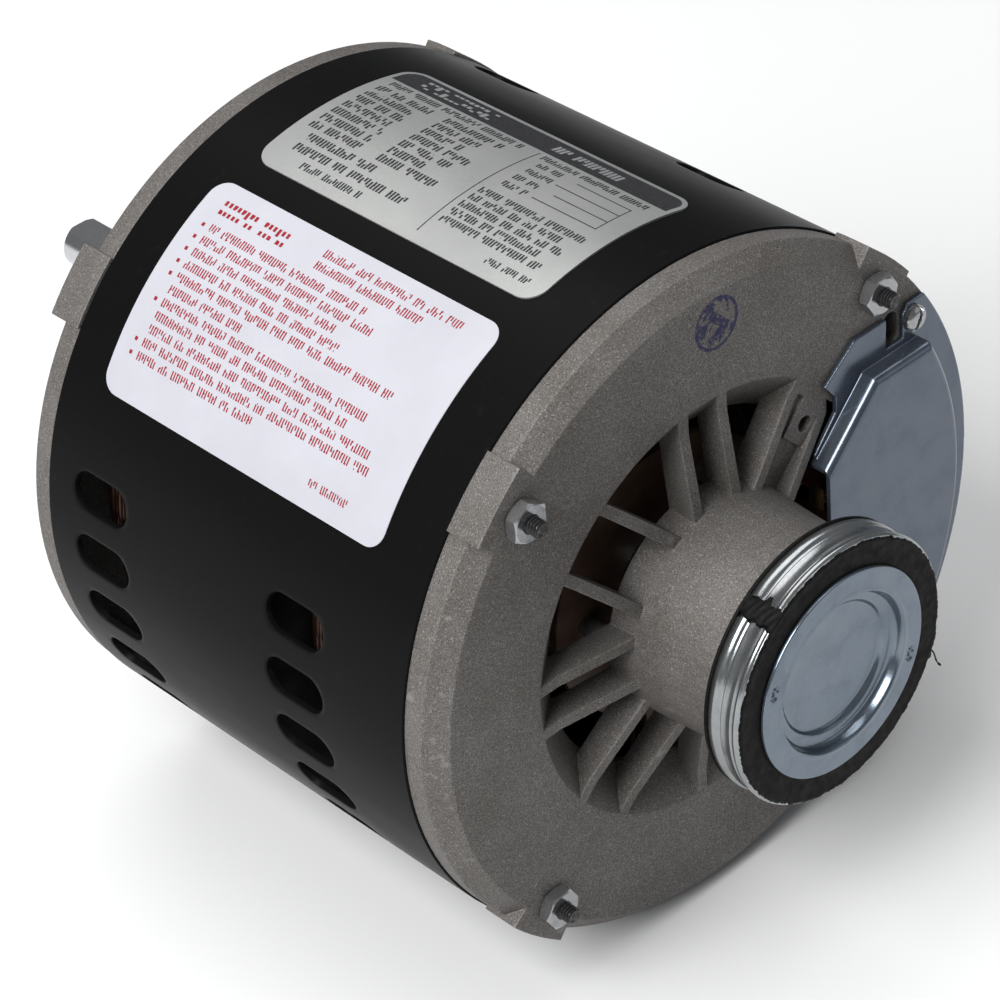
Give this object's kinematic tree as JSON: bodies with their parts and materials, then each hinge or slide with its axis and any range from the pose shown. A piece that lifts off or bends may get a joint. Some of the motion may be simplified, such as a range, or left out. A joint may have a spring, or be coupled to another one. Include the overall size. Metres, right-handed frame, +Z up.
{
  "type": "ring-mounted fan motor",
  "caption": "Open drip-proof fan motor: round black steel shell between cast endshields, rubber ring mount on each hub, one plain shaft end with a flat.",
  "frame": {"origin": "on the shaft axis, where the output shaft leaves the rear hub cap", "axes": "+Y along the shaft, out of the shaft end; +Z up through the nameplate; the lead end with the terminal cover faces -Y"},
  "size_m": [0.165, 0.2582, 0.1655],
  "materials": {
    "black_shell": "satin",
    "cast_shield": "sand-blasted",
    "zinc_steel": "zinc plated",
    "bolt_steel": "zinc plated",
    "mount_rubber": "matte",
    "bearing_steel": "ground",
    "lamination": "blued",
    "copper_wire": "varnished",
    "liner_paper": "matte",
    "lacing_cord": "matte",
    "rotor_aluminium": "as cast",
    "shaft_steel": "ground",
    "governor_steel": "satin",
    "governor_plastic": "matte",
    "phenolic": "matte",
    "brass_tab": "bright",
    "ground_green": "satin",
    "lead_insulation": "satin",
    "nameplate_metal": "satin",
    "label_paper": "matte",
    "protector_black": "satin"
  },
  "bodies": {
    "frame": {"shell": "black_shell", "front_endshield": "cast_shield", "rear_endshield": "cast_shield", "through_bolts": "bolt_steel", "through_bolt_nuts": "bolt_steel", "front_mount_sleeve": "zinc_steel", "front_mount_rubber": "mount_rubber", "front_mount_band": "zinc_steel", "rear_mount_sleeve": "zinc_steel", "rear_mount_rubber": "mount_rubber", "rear_mount_band": "zinc_steel", "front_hub_cap": "zinc_steel", "rear_hub_cap": "zinc_steel", "front_bearing_outer": "bearing_steel", "front_bearing_shields": "bearing_steel", "rear_bearing_outer": "bearing_steel", "rear_bearing_shields": "bearing_steel", "wave_spring": "bearing_steel", "stator_core": "lamination", "slot_liners": "liner_paper", "main_winding": "copper_wire", "start_winding": "copper_wire", "winding_lacing": "lacing_cord", "switch_board": "phenolic", "switch_pivot": "governor_steel", "switch_contact": "brass_tab", "switch_screws": "zinc_steel", "terminal_board": "phenolic", "terminal_tabs": "brass_tab", "terminal_screws": "zinc_steel", "overload_protector": "protector_black", "ground_screw": "ground_green", "internal_leads": "lead_insulation", "nameplate": "nameplate_metal", "info_label": "label_paper"},
    "rotor": {"shaft": "shaft_steel", "rotor_core": "lamination", "rotor_cage": "rotor_aluminium", "shaft_slinger": "mount_rubber", "front_bearing_inner": "bearing_steel", "rear_bearing_inner": "bearing_steel", "governor_carrier": "governor_steel", "governor_pins": "governor_steel", "governor_spring": "governor_steel"},
    "front_cage": {"front_bearing_cage": "bearing_steel"},
    "rear_cage": {"rear_bearing_cage": "bearing_steel"},
    "governor_collar": {"governor_collar": "governor_plastic"},
    "governor_weight_a": {"governor_weight_a": "governor_steel"},
    "governor_weight_b": {"governor_weight_b": "governor_steel"},
    "switch_arm": {"switch_arm": "governor_steel"},
    "terminal_cover": {"terminal_cover": "zinc_steel", "cover_screws": "zinc_steel"}
  },
  "joints": [
    {"name": "rotor_spin", "type": "hinge", "parent": "frame", "child": "rotor", "pos_m": [0, 0, 0], "axis": [0, 1, 0], "continuous": true},
    {"name": "front_cage_spin", "type": "hinge", "parent": "frame", "child": "front_cage", "pos_m": [0, -0.1994, 0], "axis": [0, 1, 0], "continuous": true},
    {"name": "rear_cage_spin", "type": "hinge", "parent": "frame", "child": "rear_cage", "pos_m": [0, -0.0138, 0], "axis": [0, 1, 0], "continuous": true},
    {"name": "governor_slide", "type": "slide", "parent": "rotor", "child": "governor_collar", "axis": [0, 1, 0], "range_m": [0, 0.004], "stiffness_N_per_m": 600, "springref_m": -0.003, "deforming": ["governor_spring"]},
    {"name": "governor_weight_a_swing", "type": "hinge", "parent": "rotor", "child": "governor_weight_a", "pos_m": [0.027, -0.146, 0], "axis": [0, 0, -1], "range_deg": [0, 20]},
    {"name": "governor_weight_b_swing", "type": "hinge", "parent": "rotor", "child": "governor_weight_b", "pos_m": [-0.027, -0.146, 0], "axis": [0, 0, 1], "range_deg": [0, 20]},
    {"name": "switch_arm_swing", "type": "hinge", "parent": "frame", "child": "switch_arm", "pos_m": [0, -0.1546, -0.038], "axis": [-1, 0, 0], "range_deg": [0, 5.6]},
    {"name": "terminal_cover_lift", "type": "slide", "parent": "frame", "child": "terminal_cover", "axis": [0, -1, 0], "range_m": [0, 0.018]}
  ],
  "couplings": [
    {"joint": "front_cage_spin", "follows": "rotor_spin", "ratio": 0.3816},
    {"joint": "rear_cage_spin", "follows": "rotor_spin", "ratio": 0.3816},
    {"joint": "governor_weight_a_swing", "follows": "governor_slide", "rad_per_m": 85.085},
    {"joint": "governor_weight_b_swing", "follows": "governor_slide", "rad_per_m": 85.085},
    {"joint": "switch_arm_swing", "follows": "governor_slide", "rad_per_m": 23.7}
  ]
}
